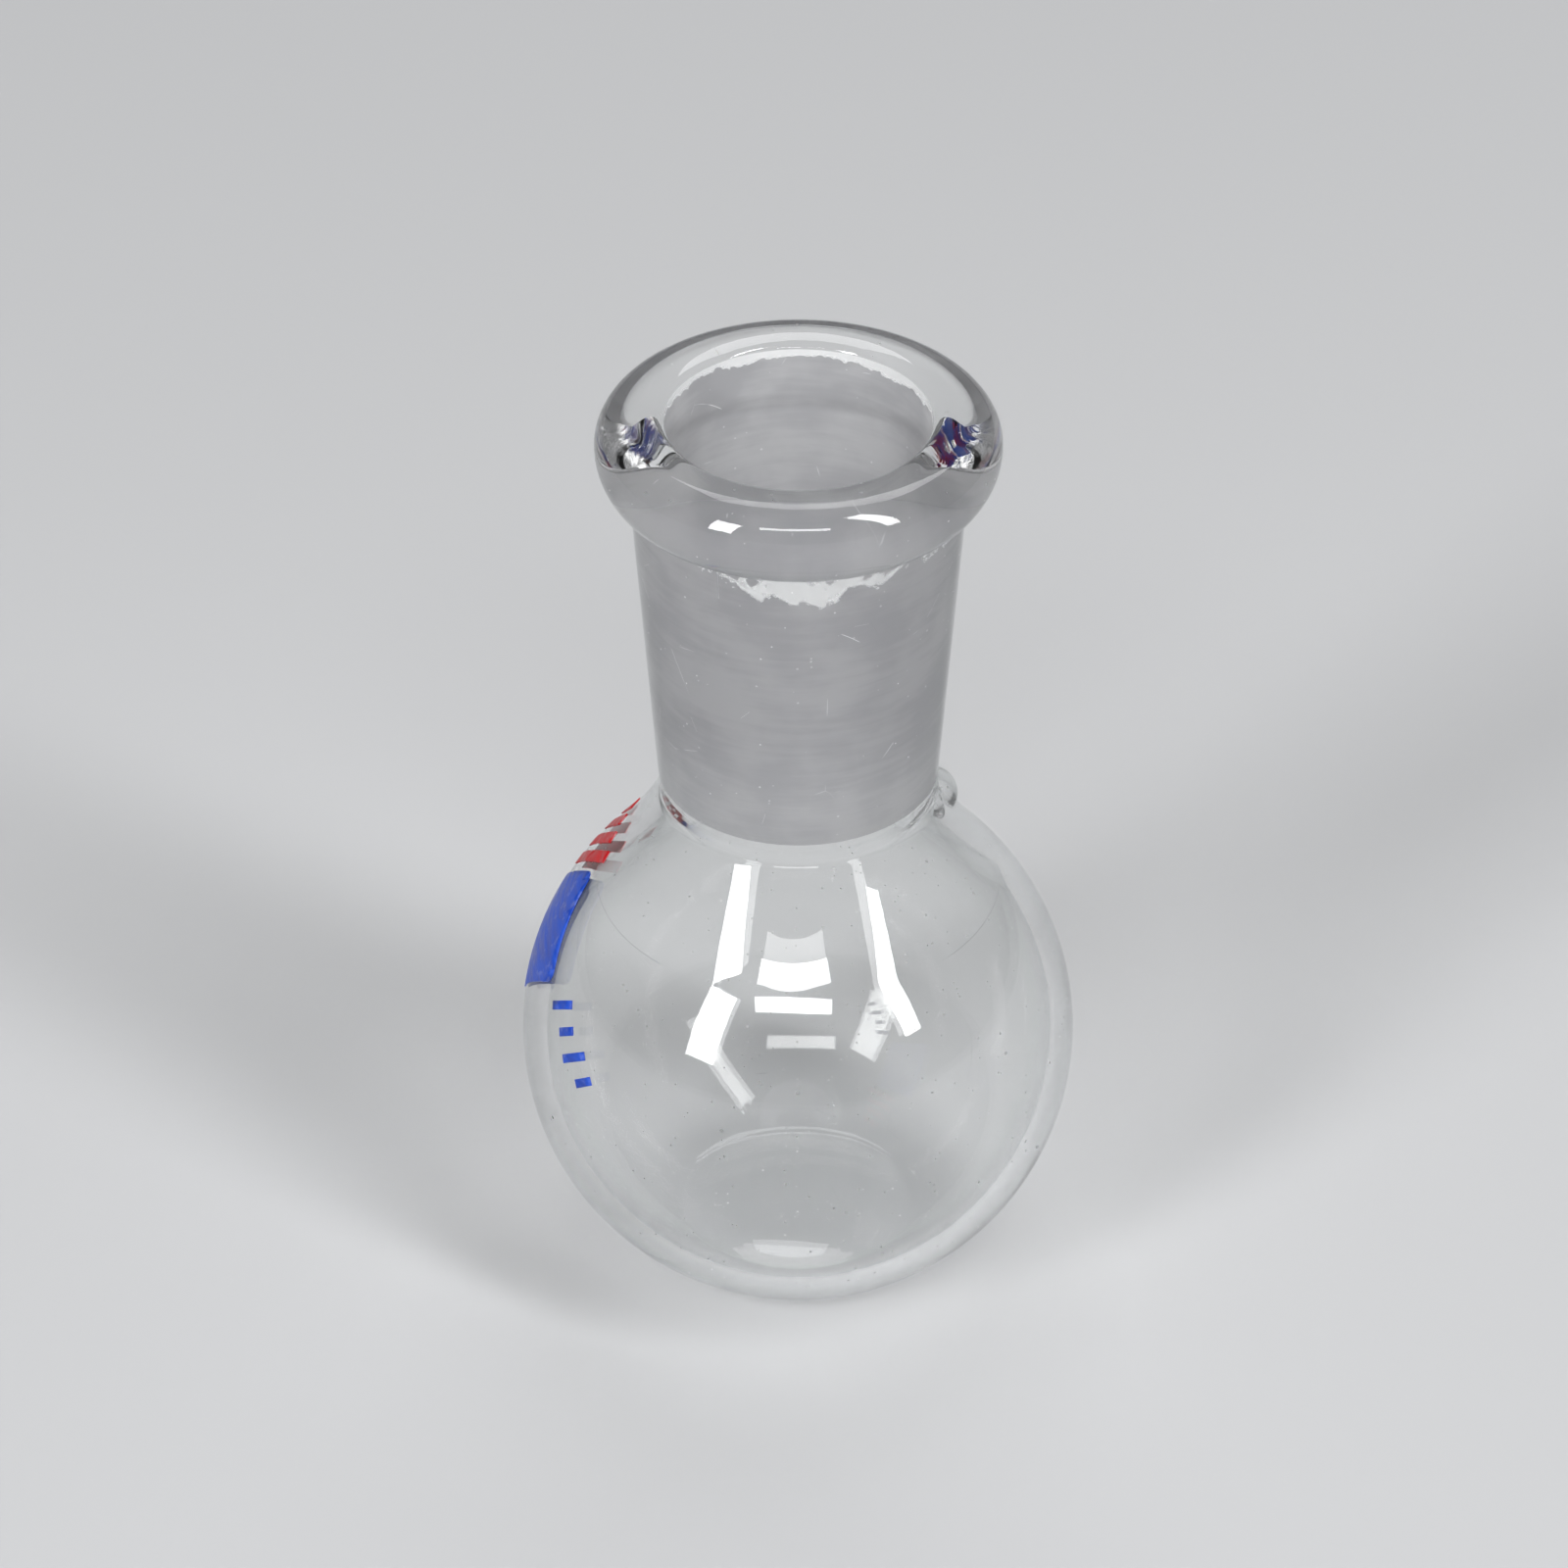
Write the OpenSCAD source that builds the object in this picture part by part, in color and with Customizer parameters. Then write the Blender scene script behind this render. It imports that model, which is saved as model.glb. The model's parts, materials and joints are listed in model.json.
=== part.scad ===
// Small round bottom flask with a standard taper socket.
// A blown glass bulb with a slightly flattened foot carries a tapered tube
// whose bore is ground to a 1:10 cone. A fused seal flares from the tube onto
// the bulb, a rounded rim finishes the mouth, and three fired-on enamel marks
// sit on one side.
// Millimetres. The foot stands on Z = 0, the mouth faces +Z, the enamel marks
// face -X.

/* [Bulb] */
// Outside diameter of the bulb
bulb_diameter = 30.8; // [24:0.2:50]
// Wall thickness of the bulb
bulb_wall = 1.3; // [0.9:0.1:2.2]
// Diameter of the flattened foot
foot_diameter = 14.4; // [10:0.2:20]
// Glass thickness over the foot
foot_thickness = 1.5; // [1:0.1:2.5]

/* [Ground socket] */
// Bore at the wide end of the ground cone, 14.5 for a 14/23 joint
socket_bore = 14.5; // [10:0.1:24]
// Length of the ground cone
ground_length = 23; // [16:0.5:32]
// Length in which the bore narrows by one millimetre
taper_ratio = 10; // [8:1:20]
// Glass thickness at the top of the tube
tube_wall_top = 2.25; // [1.6:0.05:3.5]
// Glass thickness at the bottom of the tube
tube_wall_bottom = 1.55; // [1.1:0.05:3]

/* [Rim] */
// How far the rounded rim stands out from the tube
rim_stand_out = 1.5; // [0.8:0.1:3]
// Radius of the rim above its widest line
rim_top_radius = 2; // [1.2:0.1:3]
// Radius of the rim below its widest line
rim_under_radius = 3.3; // [2:0.1:5]
// How far the lip rises above the ground cone
lip_rise = 0.5; // [0.2:0.05:1.2]

/* [Seal] */
// Plain straight stretch between the ground cone and the corner of the seal
collar_length = 0.64; // [0.3:0.02:10]
// How much further out than the tube the flare meets the bulb
flare_reach = 3.85; // [2:0.05:5]
// Steepness of the flare where it leaves the tube, 90 straight up
flare_steepness = 64; // [62:1:80]
// Steepness of the inside of the flare where it leaves the throat
throat_steepness = 60; // [59:1:80]
// Radius that softens the corner between tube and flare, inside and outside
corner_radius = 1; // [0.4:0.1:2]
// Radius of the drop of glass left on the seal
drop_radius = 1.5; // [0.8:0.1:2.4]
// How deep the middle of the drop is sunk in the seal
drop_sink = 0.7; // [0.3:0.05:1.2]
// Bearing of the drop around the seal, 0 at +X
drop_bearing = 10; // [-180:1:180]
// Steepness of the flare where the drop sits
drop_steepness = 62; // [56:1:64]

/* [Enamel marks] */
// Thickness of the fired-on enamel
enamel_thickness = 0.08; // [0.05:0.01:0.2]
// Bearing of the middle of the blue panel, 180 at -X
marks_bearing = 178.5; // [0:0.5:359]
// Height angle of the middle of the blue panel above the bulb's equator
marks_elevation = 25.5; // [0:0.5:30]
// Turn of the line of marks, 0 straight down the bulb
marks_turn = 40; // [0:1:90]
// Length of the blue panel along the line of marks
panel_length = 6.6; // [4:0.1:8]
// Width of the blue panel across the line of marks
panel_width = 7.6; // [4:0.1:9]
// How far the blue panel sits to the back of the line
panel_set_back = 0.6; // [0:0.1:2]
// Corner radius of the blue panel
panel_corner = 0.7; // [0.2:0.1:2]
// Number of red bars
bar_count = 4; // [2:1:4]
// Width of one red bar
bar_width = 0.75; // [0.4:0.05:1]
// How far the red bars reach to the back of the line
bar_back = 1.6; // [0:0.1:4]
// How far the first red bar reaches to the front of the line
bar_front = 3.8; // [2:0.1:4.5]
// How much shorter each next red bar is
bar_step = 0.9; // [0.4:0.1:1.2]
// Spacing of the red bars
bar_pitch = 1.3; // [1.1:0.05:1.4]
// Number of small blue ticks
tick_count = 4; // [2:1:5]
// Width of one blue tick
tick_width = 0.5; // [0.3:0.05:0.8]
// Length of the longer blue ticks
tick_length = 1.9; // [1:0.1:2.4]
// Spacing of the blue ticks
tick_pitch = 1.55; // [1:0.05:1.7]
// How far the first tick sits to the front of the line
tick_set_front = 4.6; // [3:0.1:5]
// How much further to the front each next tick sits
tick_step = 0.45; // [0:0.05:0.6]
// Gap between the red bars and the blue panel
bar_gap = 0.7; // [0.4:0.05:1]
// Gap between the blue panel and the ticks
tick_gap = 1.15; // [0.4:0.05:1.5]
// Length of the shorter ticks as a share of the longer ones
tick_short_share = 0.65; // [0.4:0.05:1]

/* [Hidden] */
$fn = 96;

bulb_r = bulb_diameter / 2;
cavity_r = bulb_r - bulb_wall;
foot_r = foot_diameter / 2;
bulb_z = sqrt(bulb_r * bulb_r - foot_r * foot_r);

ground_top_r = socket_bore / 2;
throat_r = ground_top_r - ground_length / taper_ratio / 2;
tube_bottom_r = throat_r + tube_wall_bottom;

// the flare meets the bulb at this angle from straight up
seal_a = asin((tube_bottom_r + flare_reach) / bulb_r);
// long radius of a flare that leaves a tube at an angle and runs onto a ball
function flare_radius(tube, ball, steep) =
    (ball * sin(seal_a) - tube) / (sin(steep) - sin(seal_a));
outer_flare = flare_radius(tube_bottom_r, bulb_r, flare_steepness);
inner_flare = flare_radius(throat_r, cavity_r, throat_steepness);
// middle of a flare's long arc, as [r, z]
function flare_middle(ball, long) =
    [(ball + long) * sin(seal_a), bulb_z + (ball + long) * cos(seal_a)];
// middle of the corner arc, which touches the tube and the long arc
function corner_middle(tube, middle, long) =
    let (r = tube + corner_radius)
    [r, middle[1] - sqrt(pow(long - corner_radius, 2) - pow(middle[0] - r, 2))];
outer_middle = flare_middle(bulb_r, outer_flare);
outer_corner = corner_middle(tube_bottom_r, outer_middle, outer_flare);
inner_middle = flare_middle(cavity_r, inner_flare);
inner_corner = corner_middle(throat_r, inner_middle, inner_flare);

ground_bottom_z = outer_corner[1] + collar_length;
ground_top_z = ground_bottom_z + ground_length;
overall_height = ground_top_z + lip_rise;
tube_top_r = ground_top_r + tube_wall_top;
function tube_r(z) = tube_bottom_r
    + (tube_top_r - tube_bottom_r) * (z - ground_bottom_z) / ground_length;

rim_r = tube_top_r + rim_stand_out;
rim_z = overall_height - rim_top_radius;
crest_r = rim_r - rim_top_radius;
under_r = rim_r - rim_under_radius;
// angle at which the underside of the rim runs into the tube
function under_gap(a) = under_r + rim_under_radius * cos(a)
    - tube_r(rim_z + rim_under_radius * sin(a));
function under_angle(lo, hi, n) = n == 0 ? (lo + hi) / 2 :
    under_gap((lo + hi) / 2) > 0 ? under_angle(lo, (lo + hi) / 2, n - 1)
                                 : under_angle((lo + hi) / 2, hi, n - 1);
rim_under_a = under_angle(-90, 0, 30);

// points of an arc about [r, z] in n steps, without the points before skip
function arc(r, z, radius, a0, a1, n, skip = 0) =
    [for (i = [skip:n]) let (a = a0 + (a1 - a0) * i / n)
        [r + radius * cos(a), z + radius * sin(a)]];

// corner and long arc of a flare, from its tube down to its ball, or the
// outside of a layer that lies on it
function flare(corner, middle, long, layer = 0) =
    let (turn = 180 + atan2(middle[1] - corner[1], middle[0] - corner[0]))
    concat(
        arc(corner[0], corner[1], corner_radius - layer, 180, turn, 3),
        arc(middle[0], middle[1], long - layer, turn, 270 - seal_a, 6, 1));

// outside of the seal from the tube down to the bulb
function seal_outside(layer = 0) = concat(
    [[tube_bottom_r + layer, ground_bottom_z]],
    flare(outer_corner, outer_middle, outer_flare, layer));

// inside of the seal from the bulb up to the ground cone
function seal_inside() =
    let (down = flare(inner_corner, inner_middle, inner_flare))
    concat(
        [for (i = [len(down) - 1:-1:0]) down[i]],
        [[throat_r, ground_bottom_z]]);

module above(z) {
    translate([-bulb_diameter, -bulb_diameter, z])
        cube([2 * bulb_diameter, 2 * bulb_diameter, 2 * overall_height]);
}

// cone from the middle of the bulb, at an angle from straight up
module shoulder_cone(angle) {
    low = 0.25 * bulb_r;
    high = 1.2 * bulb_r;
    translate([0, 0, bulb_z + low])
        cylinder(h = high - low, r1 = low * tan(angle), r2 = high * tan(angle));
}

module bulb() {
    color("LightBlue", 0.4)
    difference() {
        intersection() {
            translate([0, 0, bulb_z]) sphere(r = bulb_r);
            above(0);
        }
        intersection() {
            translate([0, 0, bulb_z]) sphere(r = cavity_r);
            above(foot_thickness);
        }
        // the seal takes over here
        shoulder_cone(seal_a);
    }
}

module tube_cone() {
    translate([0, 0, ground_bottom_z])
        cylinder(h = ground_length, r1 = tube_bottom_r, r2 = tube_top_r);
}

module socket() {
    color("PowderBlue", 0.4)
    difference() {
        tube_cone();
        // the ground cone
        translate([0, 0, ground_bottom_z])
            cylinder(h = ground_length, r1 = throat_r, r2 = ground_top_r);
    }
}

module rim() {
    lip_r = crest_r - ground_top_r;
    inside_r = (ground_top_r + tube_bottom_r) / 2;
    color("AliceBlue", 0.5)
    difference() {
        rotate_extrude()
        polygon(concat(
            // underside, from inside the tube's wall out to the widest line
            [[inside_r, rim_z + rim_under_radius * sin(rim_under_a)]],
            arc(under_r, rim_z, rim_under_radius, rim_under_a, 0, 8),
            // outside top, up to the crest
            [for (i = [1:6]) let (a = 90 * i / 6)
                [crest_r + rim_top_radius * cos(a), rim_z + rim_top_radius * sin(a)]],
            // fire-polished lip, from the crest down to the ground cone
            [for (i = [1:5]) let (a = 90 + 90 * i / 5)
                [crest_r + lip_r * cos(a), ground_top_z + lip_rise * sin(a)]],
            // down inside the tube's wall
            [[inside_r, ground_top_z - lip_rise]]));
        tube_cone();
    }
}

module seal() {
    color("SkyBlue", 0.5)
    rotate_extrude()
    polygon(concat(seal_outside(), seal_inside()));
}

// bulb and seal as if they were solid, or with a layer laid on them
module skin(layer = 0) {
    translate([0, 0, bulb_z]) sphere(r = bulb_r + layer);
    rotate_extrude()
        polygon(concat([[0, ground_bottom_z]], seal_outside(layer), [[0, bulb_z]]));
}

module seal_drop() {
    // middle of the drop, sunk behind the surface of the flare
    a = 270 - drop_steepness;
    reach = outer_flare + drop_sink;
    color("AliceBlue", 0.6)
    difference() {
        rotate([0, 0, drop_bearing])
            translate([outer_middle[0] + reach * cos(a), 0, outer_middle[1] + reach * sin(a)])
            sphere(r = drop_radius);
        skin();
    }
}

// turns its children onto the bulb: +Z runs out through the mark,
// along = place on the line of the marks, in millimetres of surface
module on_bulb(along) {
    translate([0, 0, bulb_z])
        rotate([0, 0, marks_bearing])
        rotate([0, 90 - marks_elevation, 0])
        rotate([0, 0, marks_turn])
        rotate([0, along / bulb_r * 180 / PI, 0])
        children();
}

// a layer of enamel on bulb and seal, in the outline of its children
module enamel(along) {
    cut_low = 0.6 * bulb_r;
    cut_high = 1.2 * bulb_r;
    intersection() {
        difference() {
            skin(enamel_thickness);
            skin();
        }
        on_bulb(along)
            translate([0, 0, cut_low])
            linear_extrude(height = cut_high - cut_low)
            children();
    }
}

module plate(length, width, corner) {
    square([length - 2 * corner, width], center = true);
    square([length, width - 2 * corner], center = true);
    for (x = [-1, 1], y = [-1, 1])
        translate([x * (length / 2 - corner), y * (width / 2 - corner)])
            circle(r = corner);
}

// places along the line of marks, 0 in the middle of the panel
function bar_at(i) = -panel_length / 2 - bar_gap - bar_width / 2 - i * bar_pitch;
function tick_at(i) = panel_length / 2 + tick_gap + tick_width / 2 + i * tick_pitch;
// each bar ends further back than the last
function bar_end(i) = bar_front - i * bar_step;
// long and short ticks take turns
function tick_long(i) = i % 2 == 0 ? tick_length : tick_short_share * tick_length;

module enamel_bars() {
    color("Crimson")
    for (i = [0:bar_count - 1])
        enamel(bar_at(i))
            translate([-bar_width / 2, -bar_back])
            square([bar_width, bar_back + bar_end(i)]);
}

module enamel_panel() {
    color("RoyalBlue")
    enamel(0)
        translate([0, -panel_set_back])
        plate(panel_length, panel_width, panel_corner);
}

module enamel_ticks() {
    color("MediumBlue")
    for (i = [0:tick_count - 1])
        enamel(tick_at(i))
            translate([0, tick_set_front + i * tick_step])
            square([tick_width, tick_long(i)], center = true);
}

bulb();
socket();
rim();
seal();
seal_drop();
enamel_bars();
enamel_panel();
enamel_ticks();
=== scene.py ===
# %% [markdown]
# # A small round bottom flask with a ground socket
# The flask is clear borosilicate glass: a blown bulb, a tapered neck whose bore is ground
# rough, a rounded rim, and the fused seal that joins neck and bulb. Its sizes are fixed by
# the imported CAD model, which is loaded first, so every piece below takes its place from it.

import json
import math

import bpy
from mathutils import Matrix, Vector


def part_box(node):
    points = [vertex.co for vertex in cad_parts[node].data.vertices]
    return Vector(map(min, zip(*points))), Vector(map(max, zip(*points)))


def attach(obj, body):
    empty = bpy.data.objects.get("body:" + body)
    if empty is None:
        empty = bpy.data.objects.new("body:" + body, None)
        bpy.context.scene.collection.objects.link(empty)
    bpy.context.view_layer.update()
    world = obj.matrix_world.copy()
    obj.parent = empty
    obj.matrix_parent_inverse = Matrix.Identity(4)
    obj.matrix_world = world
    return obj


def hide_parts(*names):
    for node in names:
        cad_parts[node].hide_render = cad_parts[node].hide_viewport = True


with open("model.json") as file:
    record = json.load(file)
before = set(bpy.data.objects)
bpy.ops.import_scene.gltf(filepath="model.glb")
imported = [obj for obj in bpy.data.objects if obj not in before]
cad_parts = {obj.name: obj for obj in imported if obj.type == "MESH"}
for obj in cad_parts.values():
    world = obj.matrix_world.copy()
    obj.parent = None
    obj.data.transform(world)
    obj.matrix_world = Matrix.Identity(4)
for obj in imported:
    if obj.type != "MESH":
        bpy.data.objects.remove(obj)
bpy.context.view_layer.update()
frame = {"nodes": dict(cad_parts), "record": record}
mounts = {m["name"]: m for m in frame["record"]["mounts"]}

# %% [markdown]
# ## Sizes
# Blender works in metres, so sizes in millimetres are multiplied by MM. What can be read from the
# CAD model is read from it: the box round each node, and the bores that its record gives. A few
# sizes, such as the thickness of a wall, show in no box, and are given here or beside their piece.

# %% Sizes that the pieces share
MM = 0.001
wall = 1.3 * MM
tube_wall_at_seal = 1.55 * MM
foot_radius = 7.2 * MM

bulb_low, bulb_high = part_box("bulb")
tube_low, tube_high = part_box("socket")
rim_low, rim_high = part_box("rim")
seal_low, seal_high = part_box("seal")

bulb_radius = round((bulb_high.x - bulb_low.x) / 2, 4)
seal_radius = seal_high.x
tube_top_radius = tube_high.x
rim_radius = rim_high.x
bore_radius = mounts["socket_cone"]["dims"]["r_mm"] * MM
throat_radius = mounts["throat"]["dims"]["r_mm"] * MM
tube_bottom_radius = throat_radius + tube_wall_at_seal
bulb_centre = Vector((0, 0, math.sqrt(bulb_radius ** 2 - foot_radius ** 2)))
print("bulb radius", bulb_radius, "centre", bulb_centre.z, "seal radius", seal_radius)

# %% [markdown]
# ## Camera
# The camera looks down on the flask from about 34 degrees with a long lens, so the mouth
# shows as an open ellipse and the round bulb stays round.

# %% Camera
view_distance = 0.5
view_angle = math.radians(34.04)
lens_length = 214.1
aim_below_mouth = 19.53 * MM
aim_to_left = 0.78 * MM
forward = Vector((0, math.cos(view_angle), -math.sin(view_angle)))
upward = Vector((0, math.sin(view_angle), math.cos(view_angle)))
mouth = Vector((0, 0, tube_high.z))
aim = mouth - upward * aim_below_mouth - Vector((aim_to_left, 0, 0))

bpy.ops.object.select_all(action="DESELECT")
bpy.ops.object.camera_add(
    location=aim - forward * view_distance,
    rotation=(math.pi / 2 - view_angle, 0, 0))
camera = bpy.context.object
camera.name = "camera"
camera.data.sensor_width = 36
camera.data.lens = lens_length
camera.data.clip_start = 0.01
bpy.context.scene.camera = camera
print("camera at", tuple(round(c, 3) for c in camera.location))

# %% [markdown]
# ## Floor and light
# Clear glass has no colour of its own: it is drawn by what it bends and mirrors. A pale floor
# fills it with light, and a dim surround gives it dark edges. Three soft panels, like windows, put
# long highlights on the bulb and the rim, and a faint one overhead softens the shadows. A panel's
# power is its brightness times its area, so it can be made larger without growing brighter.

# %% Floor
FLOOR_GREY = (0.50, 0.505, 0.515, 1)
bpy.ops.mesh.primitive_plane_add(size=4, location=(0, 0, 0))
floor = bpy.context.object
floor.name = "floor"
floor_paint = bpy.data.materials.new("floor_paint")
floor_paint.use_nodes = True
floor_shader = floor_paint.node_tree.nodes["Principled BSDF"]
floor_shader.inputs["Base Color"].default_value = FLOOR_GREY
floor_shader.inputs["Roughness"].default_value = 0.95
floor.data.materials.append(floor_paint)
print("floor", tuple(floor.dimensions))

# %% Soft light panels
def light_panel(name, toward, distance, width, height, brightness):
    """A soft rectangular light in a direction from the flask, facing it."""
    middle = Vector((0, 0, 0.03))
    direction = Vector(toward).normalized()
    bpy.ops.object.light_add(type="AREA", location=middle + direction * distance)
    lamp = bpy.context.object
    lamp.name = name
    lamp.rotation_euler = direction.to_track_quat("Z", "Y").to_euler()
    lamp.data.shape = "RECTANGLE"
    lamp.data.size = width
    lamp.data.size_y = height
    lamp.data.energy = brightness * math.pi * width * height

light_panel("window_left", (-0.60, -0.66, 0.45), 0.9, 0.20, 0.46, 20)
light_panel("window_right", (0.58, -0.44, 0.69), 0.9, 0.13, 0.80, 20)
light_panel("strip_above_camera", (-0.03, -0.75, 0.70), 0.9, 0.52, 0.10, 15)
light_panel("ceiling_panel", (0.1, 0.6, 1.0), 1.0, 0.6, 0.4, 3.5)

# %% [markdown]
# ## Surround
# The world round the flask is a soft grey that darkens with height. One flat grey would do for
# the floor, but glass mirrors it all, and the slow change gives its curves some shape.

# %% Surround, grey at the horizon and dim overhead
HORIZON = 0.14
OVERHEAD = 0.04
DIM_HEIGHT = 0.55
world = bpy.data.worlds.new("studio")
world.use_nodes = True
air = world.node_tree
air_place = air.nodes.new("ShaderNodeTexCoord")
air_axes = air.nodes.new("ShaderNodeSeparateXYZ")
air_shade = air.nodes.new("ShaderNodeMapRange")
air_shade.interpolation_type = "SMOOTHSTEP"
for name, number in (("From Min", 0.0), ("From Max", DIM_HEIGHT),
                     ("To Min", HORIZON), ("To Max", OVERHEAD)):
    air_shade.inputs[name].default_value = number
air.links.new(air_place.outputs["Generated"], air_axes.inputs[0])
air.links.new(air_axes.outputs["Z"], air_shade.inputs["Value"])
air.links.new(air_shade.outputs["Result"], air.nodes["Background"].inputs["Strength"])
air.nodes["Background"].inputs["Color"].default_value = (0.97, 0.985, 1.0, 1)
bpy.context.scene.world = world
bpy.context.scene.view_settings.view_transform = "Standard"
print("surround from", HORIZON, "to", OVERHEAD)

# %% [markdown]
# ## Light paths
# A ray that looks through the neck crosses many glass surfaces, and one that is caught in the rim
# is mirrored inside it again and again. With few bounces such places turn black. A low clamp
# takes away the stray bright dots that so many bounces make.

# %% Let light find its way through many walls of glass
cycles = bpy.context.scene.cycles
cycles.max_bounces = 48
cycles.transmission_bounces = 40
cycles.glossy_bounces = 32
cycles.transparent_max_bounces = 64
cycles.sample_clamp_indirect = 6
cycles.caustics_refractive = True
cycles.caustics_reflective = False
print("bounces:", cycles.max_bounces)

# %% [markdown]
# ## Tools for the pieces
# Every piece of round glassware is a turned shape. The outline of its wall is drawn as a chain
# of points beside the axis, each one extruded from the last, and the chain is spun all the way
# round the axis. Blender leaves the new surface open at the seam, so doubles are merged, and
# the faces are turned outwards.

# %% Helpers for selecting and finishing
TURN_STEPS = 192
SAME_HEIGHT = 0.002 * MM

def only(piece):
    """Makes piece the one selected, active object."""
    bpy.ops.object.select_all(action="DESELECT")
    piece.select_set(True)
    bpy.context.view_layer.objects.active = piece

def edit_nothing_selected(piece, kind):
    """Opens piece in edit mode with nothing selected."""
    only(piece)
    bpy.ops.object.mode_set(mode="EDIT")
    bpy.ops.mesh.select_mode(type=kind)
    bpy.ops.mesh.select_all(action="DESELECT")

def select_in_code(piece, items, test):
    """Selects the vertices or polygons of piece that pass a test, in edit mode."""
    bpy.ops.object.mode_set(mode="OBJECT")
    for item in getattr(piece.data, items):
        item.select = test(item)
    bpy.ops.object.mode_set(mode="EDIT")

def finish_piece(piece, smooth_angle, *nodes):
    """Smooth shading up to an angle, then the piece stands for its CAD nodes."""
    only(piece)
    bpy.ops.object.shade_smooth_by_angle(angle=math.radians(smooth_angle))
    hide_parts(*nodes)
    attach(piece, "root")
    print(piece.name, len(piece.data.polygons), "faces")

# %% Helper that turns an outline
MERGE_WITHIN = 0.001 * MM

def arc(radius, height, r, start, end, steps):
    """Points of an arc about (radius, height), angles in degrees."""
    angles = [math.radians(start + (end - start) * i / steps) for i in range(steps + 1)]
    return [(radius + r * math.cos(a), height + r * math.sin(a)) for a in angles]

def turned(name, outline):
    """A closed ring of glass: the outline beside the axis, spun once round it."""
    first = Vector((outline[0][0], 0, outline[0][1]))
    bpy.ops.object.select_all(action="DESELECT")
    bpy.ops.mesh.primitive_plane_add(size=MM, location=first)
    piece = bpy.context.object
    piece.name = name
    bpy.ops.object.transform_apply(location=True)
    bpy.ops.object.mode_set(mode="EDIT")
    bpy.ops.mesh.select_all(action="SELECT")
    bpy.ops.mesh.merge(type="CENTER")
    for (r0, z0), (r1, z1) in zip(outline, outline[1:] + outline[:1]):
        bpy.ops.mesh.extrude_region_move(
            TRANSFORM_OT_translate={"value": (r1 - r0, 0, z1 - z0)})
    bpy.ops.mesh.select_all(action="SELECT")
    bpy.ops.mesh.remove_doubles(threshold=MERGE_WITHIN)
    bpy.ops.mesh.select_all(action="SELECT")
    bpy.ops.mesh.spin(
        steps=TURN_STEPS, angle=2 * math.pi, center=(0, 0, 0), axis=(0, 0, 1))
    bpy.ops.mesh.select_all(action="SELECT")
    bpy.ops.mesh.remove_doubles(threshold=MERGE_WITHIN)
    bpy.ops.mesh.normals_make_consistent(inside=False)
    bpy.ops.object.mode_set(mode="OBJECT")
    return piece

print("outlines turn in", TURN_STEPS, "steps")

# %% [markdown]
# ## Effects that more than one finish uses
# Old glassware is never perfectly clean. A small node group makes the faint things that all
# its surfaces share: slow waves left by the blowing, specks of dust, and fine scratches.
# Noise gives the waves. Voronoi cells give the rest: a speck sits in the middle of a cell,
# and a scratch follows a piece of a cell's edge.

# %% Node helpers
def node(tree, kind, **settings):
    made = tree.nodes.new(kind)
    for key, value in settings.items():
        setattr(made, key, value)
    return made

def feed(tree, socket, value):
    """Links a socket's value, or sets it when it is a plain number."""
    if hasattr(value, "links"):
        tree.links.new(value, socket)
    else:
        socket.default_value = value

def calc(tree, operation, a, b, clamp=False):
    made = node(tree, "ShaderNodeMath", operation=operation, use_clamp=clamp)
    feed(tree, made.inputs[0], a)
    feed(tree, made.inputs[1], b)
    return made.outputs[0]

def noise(tree, place, scale, detail=2.0, roughness=0.5):
    made = node(tree, "ShaderNodeTexNoise")
    made.inputs["Scale"].default_value = scale
    made.inputs["Detail"].default_value = detail
    made.inputs["Roughness"].default_value = roughness
    tree.links.new(place, made.inputs["Vector"])
    return made.outputs["Fac"]

def ramp(tree, value, low, high, out_low=0.0, out_high=1.0):
    """Turns low..high into out_low..out_high with soft ends."""
    made = node(tree, "ShaderNodeMapRange", interpolation_type="SMOOTHSTEP")
    for name, number in (("From Min", low), ("From Max", high),
                         ("To Min", out_low), ("To Max", out_high)):
        made.inputs[name].default_value = number
    tree.links.new(value, made.inputs["Value"])
    return made.outputs["Result"]

def blend_colours(tree, share, first, second):
    made = node(tree, "ShaderNodeMix", data_type="RGBA")
    tree.links.new(share, made.inputs[0])
    for socket, colour in ((made.inputs[6], first), (made.inputs[7], second)):
        feed(tree, socket, colour)
    return made.outputs[2]

# %% Surface marks group
def specks(tree, place, per_metre, largest):
    """Small round specks, each in its own cell, of random size."""
    cells = node(tree, "ShaderNodeTexVoronoi")
    cells.inputs["Scale"].default_value = per_metre
    tree.links.new(place, cells.inputs["Vector"])
    random = node(tree, "ShaderNodeSeparateColor")
    tree.links.new(cells.outputs["Color"], random.inputs[0])
    size = ramp(tree, random.outputs[0], 0.35, 1.0, 0.0, largest)
    return ramp(tree, calc(tree, "SUBTRACT", cells.outputs["Distance"], size), 0.0, -0.012)

def scratches(tree, place, per_metre, width):
    """Short fine lines along some of the cell edges."""
    cells = node(tree, "ShaderNodeTexVoronoi", feature="DISTANCE_TO_EDGE")
    cells.inputs["Scale"].default_value = per_metre
    tree.links.new(place, cells.inputs["Vector"])
    line = ramp(tree, cells.outputs["Distance"], width, width / 3)
    return calc(tree, "MULTIPLY", line, ramp(tree, noise(tree, place, 330), 0.60, 0.66))

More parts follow.
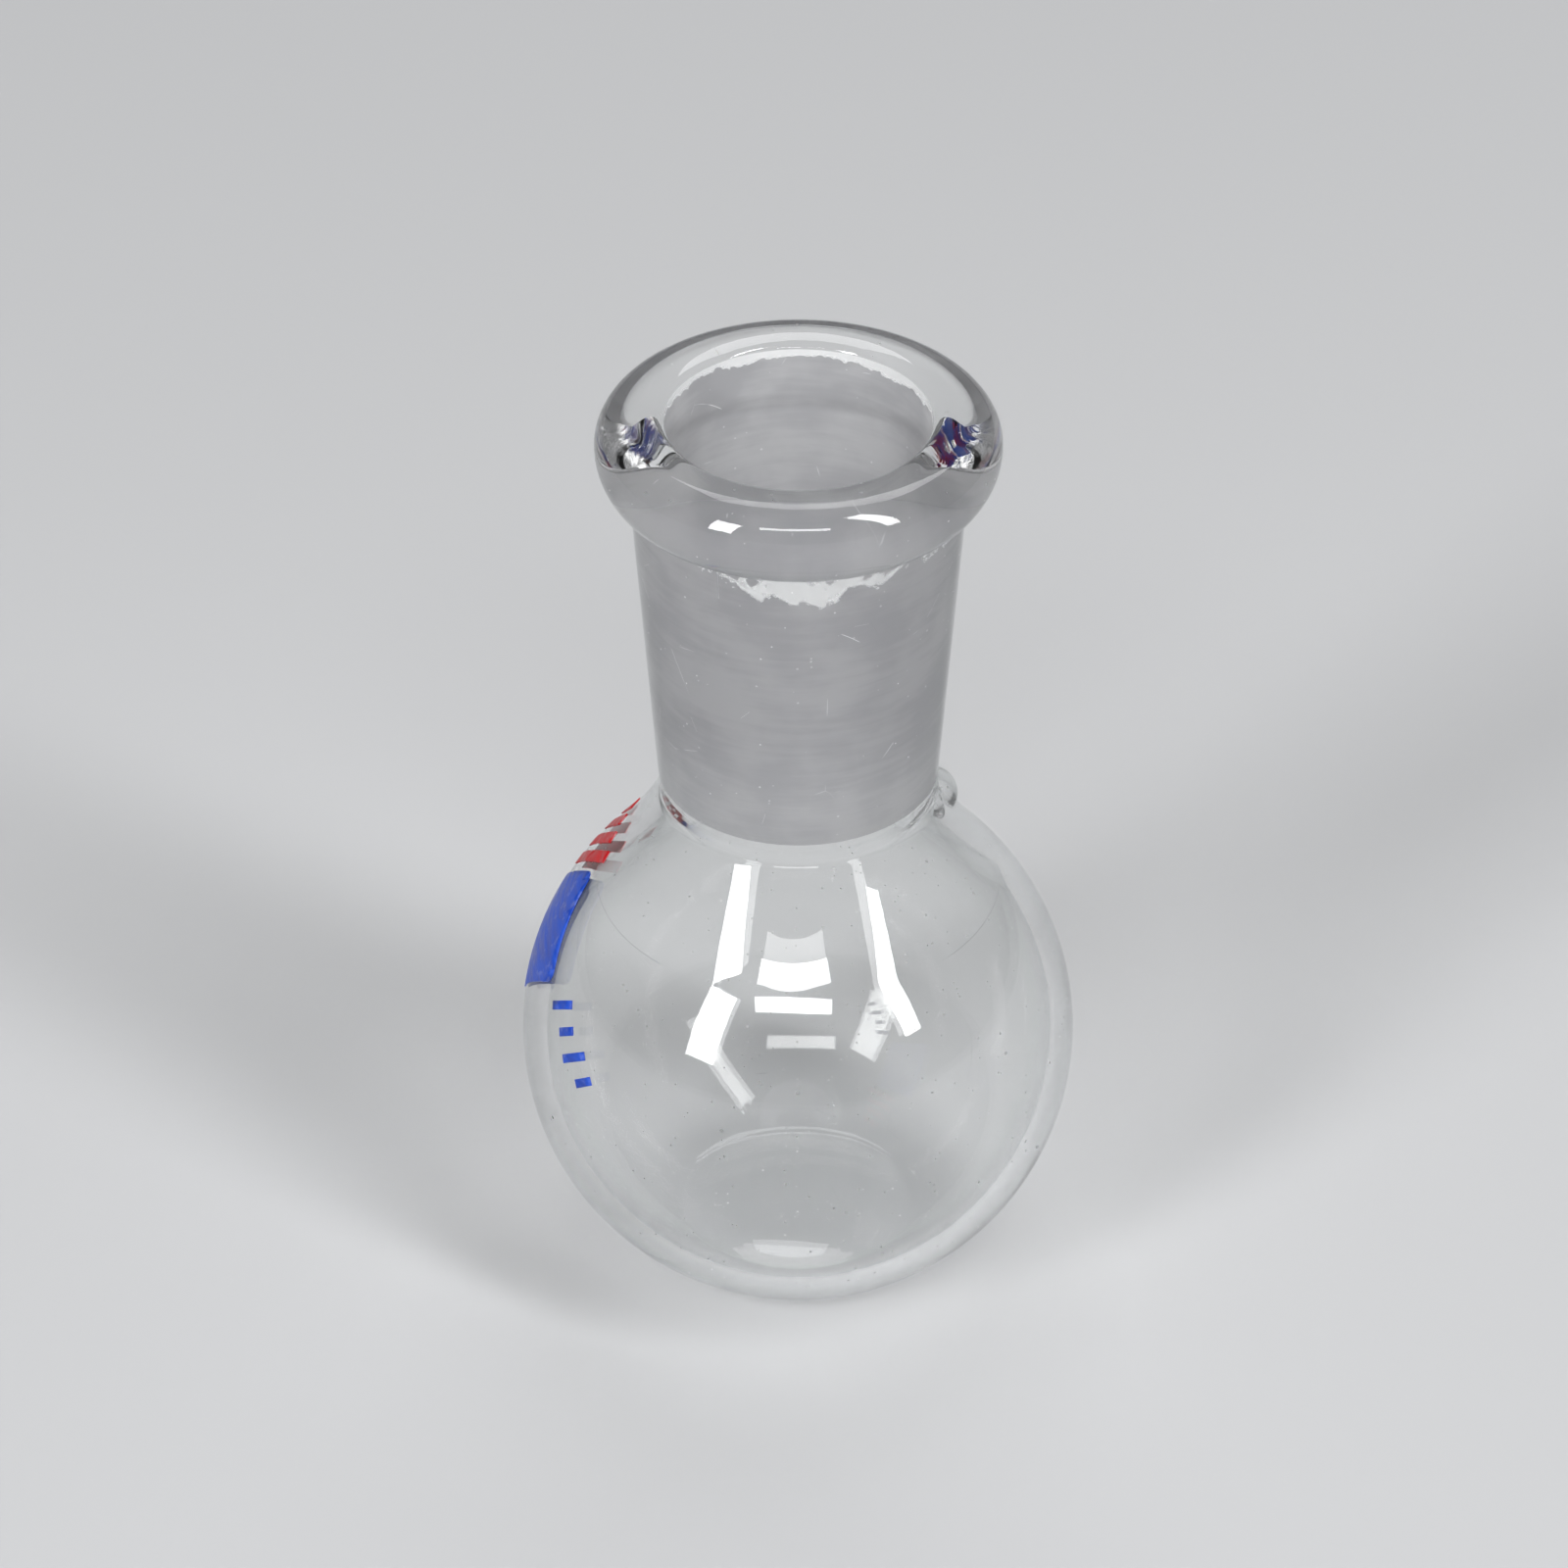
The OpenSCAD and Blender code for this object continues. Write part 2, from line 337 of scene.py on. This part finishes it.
marks = bpy.data.node_groups.new("glass_surface_marks", "ShaderNodeTree")
for name, kind, value in (("Place", "NodeSocketVector", None), ("Wave", "NodeSocketFloat", 1.0),
                          ("Dust", "NodeSocketFloat", 1.0), ("Scratch", "NodeSocketFloat", 1.0)):
    made = marks.interface.new_socket(name=name, in_out="INPUT", socket_type=kind)
    if value is not None:
        made.default_value = value
for name in ("Height", "Speck"):
    marks.interface.new_socket(name=name, in_out="OUTPUT", socket_type="NodeSocketFloat")
marks_in = node(marks, "NodeGroupInput")
marks_out = node(marks, "NodeGroupOutput")
place = marks_in.outputs["Place"]
dust = calc(marks, "MAXIMUM", specks(marks, place, 1500, 0.11), specks(marks, place, 520, 0.065))
dust = calc(marks, "MULTIPLY", dust, marks_in.outputs["Dust"])
lines = calc(marks, "MULTIPLY", scratches(marks, place, 170, 0.0025), marks_in.outputs["Scratch"])
marks.links.new(calc(marks, "MAXIMUM", dust, lines, clamp=True), marks_out.inputs["Speck"])
marks.links.new(calc(marks, "MULTIPLY", noise(marks, place, 75, 1.0), marks_in.outputs["Wave"]),
                marks_out.inputs["Height"])
print("surface marks group:", len(marks.nodes), "nodes")

# %% [markdown]
# ## Clear glass
# Clear glass is a Principled shader with full transmission and the refractive index of
# borosilicate, 1.47. Toward the edges, where the glass is seen along its surface, its colour is
# painted dark. A little of this is the longer path through the glass; most of it is painted shade
# for the dark rims that glass shows. A lamp is hard to find through curved glass, which would leave
# a black shadow, so a Light Path node swaps in a grey Transparent shader for shadow rays only: it
# lets a share of every lamp straight through, and the bent light adds the rest.

# %% Glass materials
GLASS_INDEX = 1.47
CLEAR_TINT = (0.99, 0.995, 0.993, 1)
# The edge colour is painted shade: glass seen along its surface is drawn much darker than its own
# tint.
EDGE_TINT_AND_PAINTED_SHADE = (0.20, 0.25, 0.25, 1)
EDGE_SHARPNESS = 4.0
DUST_TINT = (0.60, 0.60, 0.60, 1)
SHADOW_LIGHT = 0.55

def new_finish(name):
    """A material with its Principled shader and its Object coordinates."""
    material = bpy.data.materials.new(name)
    material.use_nodes = True
    tree = material.node_tree
    place = node(tree, "ShaderNodeTexCoord").outputs["Object"]
    return material, tree, tree.nodes["Principled BSDF"], place

def toward_edge(tree, sharpness):
    """0 where the glass is seen square on, 1 where it is seen along its surface."""
    facing = node(tree, "ShaderNodeLayerWeight").outputs["Facing"]
    return calc(tree, "POWER", facing, sharpness)

def lamps_shine_through(tree, shader, tint):
    """Shadow rays meet a Transparent shader in place of the glass."""
    light_path = node(tree, "ShaderNodeLightPath")
    see_through = node(tree, "ShaderNodeBsdfTransparent")
    see_through.inputs["Color"].default_value = (tint, tint, tint, 1)
    mix = node(tree, "ShaderNodeMixShader")
    tree.links.new(light_path.outputs["Is Shadow Ray"], mix.inputs[0])
    tree.links.new(shader.outputs[0], mix.inputs[1])
    tree.links.new(see_through.outputs[0], mix.inputs[2])
    tree.links.new(mix.outputs[0], tree.nodes["Material Output"].inputs["Surface"])

def glass_base(name, wave, dust_amount, scratch):
    """Glass with its surface marks, ready for a roughness."""
    material, tree, shader, place = new_finish(name)
    shader.inputs["IOR"].default_value = GLASS_INDEX
    shader.inputs["Transmission Weight"].default_value = 1.0
    shader.inputs["Metallic"].default_value = 0.0
    surface = node(tree, "ShaderNodeGroup", node_tree=marks)
    for key, amount in (("Wave", wave), ("Dust", dust_amount), ("Scratch", scratch)):
        surface.inputs[key].default_value = amount
    tree.links.new(place, surface.inputs["Place"])
    bump = node(tree, "ShaderNodeBump")
    bump.inputs["Distance"].default_value = 0.10 * MM
    tree.links.new(surface.outputs["Height"], bump.inputs["Height"])
    tree.links.new(bump.outputs["Normal"], shader.inputs["Normal"])
    return material, tree, shader, place, surface

def clear_glass(name, wave, dust_amount, scratch):
    """Fire-polished glass: smooth, hardly tinted, a little dusty, with painted shade toward its
    edges.
    """
    material, tree, shader, place, surface = glass_base(name, wave, dust_amount, scratch)
    speck = surface.outputs["Speck"]
    tree.links.new(ramp(tree, speck, 0.0, 1.0, 0.0, 0.6), shader.inputs["Roughness"])
    # Painted shade: the colour darkens toward the edges, far more than the longer path through the
    # glass would.
    tint = blend_colours(tree, toward_edge(tree, EDGE_SHARPNESS), CLEAR_TINT, EDGE_TINT_AND_PAINTED_SHADE)
    tint = blend_colours(tree, speck, tint, DUST_TINT)
    tree.links.new(tint, shader.inputs["Base Color"])
    lamps_shine_through(tree, shader, SHADOW_LIGHT)
    return material

blown_glass = clear_glass("blown_glass", 1.0, 1.0, 0.45)
drawn_glass = clear_glass("drawn_tube_glass", 0.3, 0.5, 0.5)
fire_polished_glass = clear_glass("fire_polished_glass", 0.6, 0.6, 0.3)
print("clear glass with index", GLASS_INDEX)

# %% [markdown]
# ## Fused glass
# Where two pieces are melted together there is no surface in the real glass. Each piece stays a
# closed shell here, so the faces where two pieces meet get a finish that bends and mirrors
# nothing, and light runs on from one piece into the next.

# %% Fused glass
fused = bpy.data.materials.new("fused_inside")
fused.use_nodes = True
fused_tree = fused.node_tree
fused_tree.nodes.remove(fused_tree.nodes["Principled BSDF"])
fused_clear = node(fused_tree, "ShaderNodeBsdfTransparent")
fused_tree.links.new(
    fused_clear.outputs[0], fused_tree.nodes["Material Output"].inputs["Surface"])
print("fused faces use", fused.name)

# %% [markdown]
# ## Ground glass
# The bore is ground with abrasive until it is matt, so it scatters light instead of bending
# it cleanly. The shader is the glass again with a high roughness and a share of plain grey. Its
# index is lower, because a ground surface is a crust of glass and air, part way between the two.
# Grinding goes round and round, so its grain is stretched along level rings. It stops just
# under the lip in a ragged, chipped edge, and it missed a patch on the front, which is clear.

# %% Where the bore is ground
lip_edge_z = tube_high.z - 0.4 * MM
missed_z = tube_high.z - 5.6 * MM
missed_x = 1.0 * MM
missed_reach = 0.95 * MM
missed_clear = 0.75 * MM
MISSED_TAPER = 0.15
RAGGED = 1.4 * MM
CHIPPED = 5 * MM

def grain_round_the_bore(tree, place, scale, flatness):
    """Noise that is drawn out along level rings."""
    squeeze = node(tree, "ShaderNodeMapping")
    squeeze.inputs["Scale"].default_value = (1, 1, flatness)
    tree.links.new(place, squeeze.inputs["Vector"])
    return noise(tree, squeeze.outputs["Vector"], scale, 3, 0.6)

def ground_share(tree, place):
    """1 where the bore is ground, 0 where it stayed clear."""
    axes = node(tree, "ShaderNodeSeparateXYZ")
    tree.links.new(place, axes.inputs[0])
    across, height = axes.outputs["X"], axes.outputs["Z"]
    rag = calc(tree, "SUBTRACT", noise(tree, place, 650, 4, 0.65), 0.5)
    edge = calc(tree, "ADD", height, calc(tree, "MULTIPLY", rag, RAGGED))
    below_lip = ramp(tree, edge, lip_edge_z + 0.1 * MM, lip_edge_z - 0.1 * MM)
    patch = calc(tree, "ADD", height, calc(tree, "MULTIPLY", rag, CHIPPED))
    above = calc(tree, "ABSOLUTE", calc(tree, "SUBTRACT", patch, missed_z), 0.0)
    beside = calc(tree, "ABSOLUTE", calc(tree, "SUBTRACT", across, missed_x), 0.0)
    away = calc(tree, "ADD", above, calc(tree, "MULTIPLY", beside, MISSED_TAPER))
    missed = ramp(tree, away, missed_reach, missed_clear)
    missed = calc(tree, "MULTIPLY", missed, ramp(tree, axes.outputs["Y"], 0, -1 * MM))
    return calc(tree, "MULTIPLY", below_lip, calc(tree, "SUBTRACT", 1.0, missed))

print("ground up to", lip_edge_z, "but not round", missed_z)

# %% Ground glass
GROUND_INDEX = 1.2
GROUND_DARK = (0.36, 0.36, 0.375, 1)
GROUND_PALE = (0.46, 0.46, 0.47, 1)
UNGROUND = (0.93, 0.94, 0.94, 1)
CHIP_WHITE = (0.95, 0.95, 0.96, 1)
GROUND_SHADOW_LIGHT = 0.5

def ramp_between(tree, share, first, second):
    """A number that goes from first to second as share goes from 0 to 1."""
    made = node(tree, "ShaderNodeMix", data_type="FLOAT")
    tree.links.new(share, made.inputs[0])
    feed(tree, made.inputs[2], first)
    feed(tree, made.inputs[3], second)
    return made.outputs[0]

def ground_glass():
    """The bore of the socket: milky grey, finely streaked, ragged at its edges."""
    material, tree, shader, place, surface = glass_base("ground_bore", 0.2, 0.4, 1.0)
    shader.inputs["Transmission Weight"].default_value = 0.55
    shader.inputs["IOR"].default_value = GROUND_INDEX
    ground = ground_share(tree, place)
    rings = grain_round_the_bore(tree, place, 260, 9)
    clouds = noise(tree, place, 240, 3)
    tone = calc(tree, "ADD", calc(tree, "MULTIPLY", rings, 0.3), calc(tree, "MULTIPLY", clouds, 0.7))
    matt = ramp(tree, tone, 0.35, 0.65, 0.78, 0.92)
    tree.links.new(ramp_between(tree, ground, 0.05, matt), shader.inputs["Roughness"])
    grey = blend_colours(tree, ramp(tree, tone, 0.38, 0.62), GROUND_DARK, GROUND_PALE)
    chipped = calc(tree, "MULTIPLY", ground, calc(tree, "SUBTRACT", 1.0, ground))
    pale = calc(tree, "MAXIMUM", ramp(tree, chipped, 0.02, 0.2), surface.outputs["Speck"])
    grey = blend_colours(tree, pale, grey, CHIP_WHITE)
    tree.links.new(blend_colours(tree, ground, UNGROUND, grey), shader.inputs["Base Color"])
    lamps_shine_through(tree, shader, GROUND_SHADOW_LIGHT)
    return material

ground_bore = ground_glass()
print(ground_bore.name, "with index", GROUND_INDEX)

# %% [markdown]
# ## Enamel
# The coloured marks are fired on: a thin coat of glassy paint, brushed or printed by hand. Its
# streaks are noise squeezed along one slanted direction, and they carry the colour, the gloss and
# a faint relief together, so that they look like one coat. Finer noise wears small spots pale.

# %% Enamel
WORN_SPOT = (0.6, 0.62, 0.68, 1)

def enamel(name, colour, worn_colour):
    """Fired-on colour: a thin brushed coat, glossy, with small worn spots."""
    material, tree, shader, place = new_finish(name)
    brush = node(tree, "ShaderNodeMapping")
    brush.inputs["Rotation"].default_value = (0.6, 0.5, 0.2)
    brush.inputs["Scale"].default_value = (1, 1, 6)
    tree.links.new(place, brush.inputs["Vector"])
    streaks = noise(tree, brush.outputs["Vector"], 420, 3, 0.6)
    wear = ramp(tree, noise(tree, place, 1500, 4, 0.6), 0.55, 0.66)
    shade = blend_colours(tree, ramp(tree, streaks, 0.35, 0.65), colour, worn_colour)
    shade = blend_colours(tree, calc(tree, "MULTIPLY", wear, 0.12), shade, WORN_SPOT)
    tree.links.new(shade, shader.inputs["Base Color"])
    shader.inputs["Specular IOR Level"].default_value = 0.25
    tree.links.new(ramp(tree, streaks, 0.3, 0.7, 0.28, 0.48), shader.inputs["Roughness"])
    bump = node(tree, "ShaderNodeBump")
    bump.inputs["Distance"].default_value = 0.03 * MM
    tree.links.new(streaks, bump.inputs["Height"])
    tree.links.new(bump.outputs["Normal"], shader.inputs["Normal"])
    return material

red_enamel = enamel("red_enamel", (0.40, 0.004, 0.008, 1), (0.52, 0.008, 0.012, 1))
blue_enamel = enamel("blue_enamel", (0.008, 0.045, 0.36, 1), (0.02, 0.08, 0.50, 1))
print("enamels:", red_enamel.name, blue_enamel.name)

# %% [markdown]
# ## Bulb
# The real bulb is blown, so its wall is nearly even. It is modelled as the blower would see
# it: a sphere, cut open at the shoulder, pressed flat at the foot, and then given its wall
# with a Solidify modifier. The rim that Solidify makes is square to the surface, and is just
# the face that the seal is fused to. A second edge close below the cut keeps the smooth shading
# of the skin from bending toward that face.

# %% Bulb skin
bpy.ops.object.select_all(action="DESELECT")
bpy.ops.mesh.primitive_uv_sphere_add(
    segments=TURN_STEPS, ring_count=120, radius=bulb_radius, location=bulb_centre)
bulb = bpy.context.object
bulb.name = "blown_bulb"
bpy.ops.object.transform_apply(location=True)
shoulder_z = bulb_centre.z + math.sqrt(bulb_radius ** 2 - seal_radius ** 2)
support_gap = 0.05 * MM
CUT_WITHIN = 1e-7

def slice_bulb(height, keep_below=None):
    """Cuts a level edge into the bulb, and drops what is past it if asked."""
    bpy.ops.mesh.select_all(action="SELECT")
    bpy.ops.mesh.bisect(
        plane_co=(0, 0, height), plane_no=(0, 0, 1), threshold=CUT_WITHIN,
        clear_outer=keep_below is True, clear_inner=keep_below is False)

edit_nothing_selected(bulb, "VERT")
slice_bulb(shoulder_z, keep_below=True)
slice_bulb(shoulder_z - support_gap)
foot_edge_z = 0.35 * MM
slice_bulb(foot_edge_z, keep_below=False)
print("bulb skin from", foot_edge_z, "to", shoulder_z)

# %% [markdown]
# The open edge at the foot is now drawn inwards in rings: first round and down to the bench, then
# flat, then gently up again, so that the flask stands on a ring. A face closes the middle.

# %% Bulb foot
select_in_code(bulb, "vertices", lambda v: abs(v.co.z - foot_edge_z) < SAME_HEIGHT)
edge_radius = math.sqrt(bulb_radius ** 2 - (bulb_centre.z - foot_edge_z) ** 2)
foot_rings = [
    (edge_radius - 0.45 * MM, 0.13 * MM), (edge_radius - 0.95 * MM, 0.03 * MM),
    (edge_radius - 1.5 * MM, 0.0), (edge_radius - 2.1 * MM, 0.02 * MM),
    (edge_radius - 2.9 * MM, 0.08 * MM), (edge_radius - 4.0 * MM, 0.16 * MM),
    (edge_radius - 5.4 * MM, 0.23 * MM), (0.6 * MM, 0.27 * MM)]
ring_radius, ring_z = edge_radius, foot_edge_z
for new_radius, new_z in foot_rings:
    bpy.ops.mesh.extrude_edges_move(TRANSFORM_OT_translate={"value": (0, 0, new_z - ring_z)})
    factor = new_radius / ring_radius
    bpy.ops.transform.resize(value=(factor, factor, 1), center_override=(0, 0, 0))
    ring_radius, ring_z = new_radius, new_z
bpy.ops.mesh.edge_face_add()
bpy.ops.mesh.poke()
bpy.ops.mesh.select_all(action="SELECT")
bpy.ops.mesh.normals_make_consistent(inside=False)
bpy.ops.object.mode_set(mode="OBJECT")
print("foot ring at radius", round(foot_rings[2][0], 5))

# %% Bulb wall
for finish in (blown_glass, fused):
    bulb.data.materials.append(finish)
wall_maker = bulb.modifiers.new("wall", "SOLIDIFY")
wall_maker.thickness = wall
wall_maker.offset = -1
wall_maker.use_even_offset = True
wall_maker.material_offset_rim = 1
only(bulb)
bpy.ops.object.modifier_apply(modifier="wall")
finish_piece(bulb, 40, "bulb")

# %% [markdown]
# ## Socket tube
# The neck is a tapered tube: plain outside, ground inside. An open cone makes the outside,
# and its upper edge is extruded inwards over the top and down through the bore.

# %% Socket tube
tube_length = tube_high.z - tube_low.z
bpy.ops.object.select_all(action="DESELECT")
bpy.ops.mesh.primitive_cone_add(
    vertices=TURN_STEPS, radius1=tube_bottom_radius, radius2=tube_top_radius,
    depth=tube_length, end_fill_type="NOTHING",
    location=(0, 0, (tube_low.z + tube_high.z) / 2))
tube = bpy.context.object
tube.name = "socket_tube"
bpy.ops.object.transform_apply(location=True)
edit_nothing_selected(tube, "VERT")
select_in_code(tube, "vertices", lambda v: abs(v.co.z - tube_high.z) < SAME_HEIGHT)
bpy.ops.mesh.extrude_edges_move()
inward = bore_radius / tube_top_radius
bpy.ops.transform.resize(value=(inward, inward, 1))
bpy.ops.mesh.extrude_edges_move(
    TRANSFORM_OT_translate={"value": (0, 0, -tube_length)})
narrower = throat_radius / bore_radius
bpy.ops.transform.resize(value=(narrower, narrower, 1))
select_in_code(tube, "vertices", lambda v: abs(v.co.z - tube_low.z) < SAME_HEIGHT)
bpy.ops.mesh.bridge_edge_loops()
for height in (rim_low.z, rim_low.z - support_gap, tube_low.z + support_gap):
    bpy.ops.mesh.select_all(action="SELECT")
    bpy.ops.mesh.bisect(plane_co=(0, 0, height), plane_no=(0, 0, 1), threshold=CUT_WITHIN)
bpy.ops.mesh.select_all(action="SELECT")
bpy.ops.mesh.normals_make_consistent(inside=False)
bpy.ops.object.mode_set(mode="OBJECT")
print("tube", tube_length, "long")

# %% Which faces of the tube are clear, fused or ground
for finish in (drawn_glass, fused, ground_bore):
    tube.data.materials.append(finish)
for face in tube.data.polygons:
    outward = face.normal.x * face.center.x + face.normal.y * face.center.y
    if abs(face.normal.z) > 0.9 or (outward > 0 and face.center.z > rim_low.z):
        face.material_index = 1
    elif outward < 0:
        face.material_index = 2
finish_piece(tube, 30, "socket")

# %% [markdown]
# ## Rim
# The mouth is melted and tooled into a rounded bead with a soft lip. It is turned from its
# outline: the underside, the widest line, the crest, and the lip that falls to the ground
# bore. The inside of the outline follows the tube, where the two are one glass.

# %% Rim
def tube_radius(height):
    share = (height - tube_low.z) / tube_length
    return tube_bottom_radius + (tube_top_radius - tube_bottom_radius) * share

top_bend = 2.0 * MM
under_bend = 3.3 * MM
widest_z = rim_high.z - top_bend
crest_radius = rim_radius - top_bend
under_start = -math.degrees(math.asin((widest_z - rim_low.z) / under_bend))
lip = arc(0, 0, 1, 90, 180, 10)
lip_width = crest_radius - bore_radius
lip_rise = rim_high.z - tube_high.z
rim_outline = (
    arc(rim_radius - under_bend, widest_z, under_bend, under_start, 0, 18)
    + arc(crest_radius, widest_z, top_bend, 0, 90, 16)[1:]
    + [(crest_radius + x * lip_width, tube_high.z + y * lip_rise) for x, y in lip[1:]]
    + [(tube_top_radius, tube_high.z)])
rim = turned("rounded_rim", rim_outline)
for finish in (fire_polished_glass, fused):
    rim.data.materials.append(finish)
for face in rim.data.polygons:
    out = math.hypot(face.center.x, face.center.y)
    on_tube = abs(out - tube_radius(face.center.z)) < 0.02 * MM
    on_end = abs(face.center.z - tube_high.z) < 0.005 * MM
    face.material_index = 1 if on_tube or on_end else 0
finish_piece(rim, 35, "rim")

# %% [markdown]
# ## Seal
# Neck and bulb are melted together at the shoulder. Below a small corner the glass flares
# from the tube onto the bulb in one long hollow curve, inside and outside alike, so each side
# is a short arc and a long arc that touch. The long arc also touches the ball it runs onto.

# %% Seal
corner = 1.0 * MM
steepness_outside = 64
steepness_inside = 60
cavity_radius = bulb_radius - wall
seal_angle = math.degrees(math.asin(seal_radius / bulb_radius))
lean = math.sin(math.radians(seal_angle))

def flare(tube, ball, steepness):
    """Points of a flare from its tube down to its ball."""
    long = (ball * lean - tube) / (math.sin(math.radians(steepness)) - lean)
    middle_r = (ball + long) * lean
    middle_z = bulb_centre.z + (ball + long) * math.cos(math.radians(seal_angle))
    corner_r = tube + corner
    corner_z = middle_z - math.sqrt((long - corner) ** 2 - (middle_r - corner_r) ** 2)
    turn = 180 + math.degrees(math.atan2(middle_z - corner_z, middle_r - corner_r))
    return (arc(corner_r, corner_z, corner, 180, turn, 6)
            + arc(middle_r, middle_z, long, turn, 270 - seal_angle, 18)[1:])

seal_outline = (
    [(tube_bottom_radius, tube_low.z)]
    + flare(tube_bottom_radius, bulb_radius, steepness_outside)
    + flare(throat_radius, cavity_radius, steepness_inside)[::-1]
    + [(throat_radius, tube_low.z)])
seal = turned("fused_seal", seal_outline)
for finish in (fire_polished_glass, fused):
    seal.data.materials.append(finish)
for face in seal.data.polygons:
    from_centre = face.center - bulb_centre
    off_axis = math.degrees(math.atan2(math.hypot(face.center.x, face.center.y), from_centre.z))
    on_bulb = abs(off_axis - seal_angle) < 0.3 and from_centre.length < bulb_radius - 0.1 * MM
    face.material_index = 1 if on_bulb or face.normal.z > 0.99 else 0
finish_piece(seal, 40, "seal")

# %% [markdown]
# ## Drop on the seal
# A small drop of glass stayed on the seal. Its CAD shape is right, so the piece is a copy of
# it with its loose triangles merged, and the face that it is fused by marked as such.

# %% Drop on the seal
def copy_of(node_name, name):
    """A copy of a CAD node as a new piece, with its triangles joined up."""
    only(frame["nodes"][node_name])
    bpy.ops.object.duplicate()
    piece = bpy.context.object
    piece.name = name
    piece.data.name = name
    piece.data.materials.clear()
    for key in list(piece.keys()):
        del piece[key]
    only(piece)
    bpy.ops.object.mode_set(mode="EDIT")
    bpy.ops.mesh.select_all(action="SELECT")
    bpy.ops.mesh.remove_doubles(threshold=MERGE_WITHIN)
    bpy.ops.object.mode_set(mode="OBJECT")
    return piece

drop = copy_of("seal_drop", "seal_bead_drop")
for finish in (fire_polished_glass, fused):
    drop.data.materials.append(finish)
drop_low, drop_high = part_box("seal_drop")
drop_middle = (drop_low + drop_high) / 2
drop_out = Vector((drop_middle.x, drop_middle.y, 0)).normalized()
for face in drop.data.polygons:
    face.material_index = 1 if face.normal.dot(drop_out) < 0 else 0
finish_piece(drop, 40, "seal_drop")

# %% [markdown]
# ## Enamel marks
# The marks follow the bulb as thin plates, and their CAD shapes are right as well. A copy lies with
# its back exactly on the glass, where two surfaces in one place would flicker, so each mark is
# scaled a hair toward the middle of the bulb, which sinks its back into the glass.

# %% Enamel marks
def sink(piece, depth):
    """Settles a mark into the glass, so that no two surfaces lie in one place."""
    only(piece)
    factor = 1 - depth / bulb_radius
    bpy.ops.object.mode_set(mode="EDIT")
    bpy.ops.mesh.select_all(action="SELECT")
    bpy.ops.transform.resize(value=(factor, factor, factor), center_override=bulb_centre)
    bpy.ops.object.mode_set(mode="OBJECT")

for node_name, name, finish, slot in (
        ("enamel_bars", "red_bars", red_enamel, "enamel_red"),
        ("enamel_panel", "blue_panel", blue_enamel, "enamel_blue"),
        ("enamel_ticks", "blue_ticks", blue_enamel, "enamel_blue")):
    mark = copy_of(node_name, name)
    mark.data.materials.append(finish)
    sink(mark, 0.02 * MM)
    finish_piece(mark, 40, node_name)
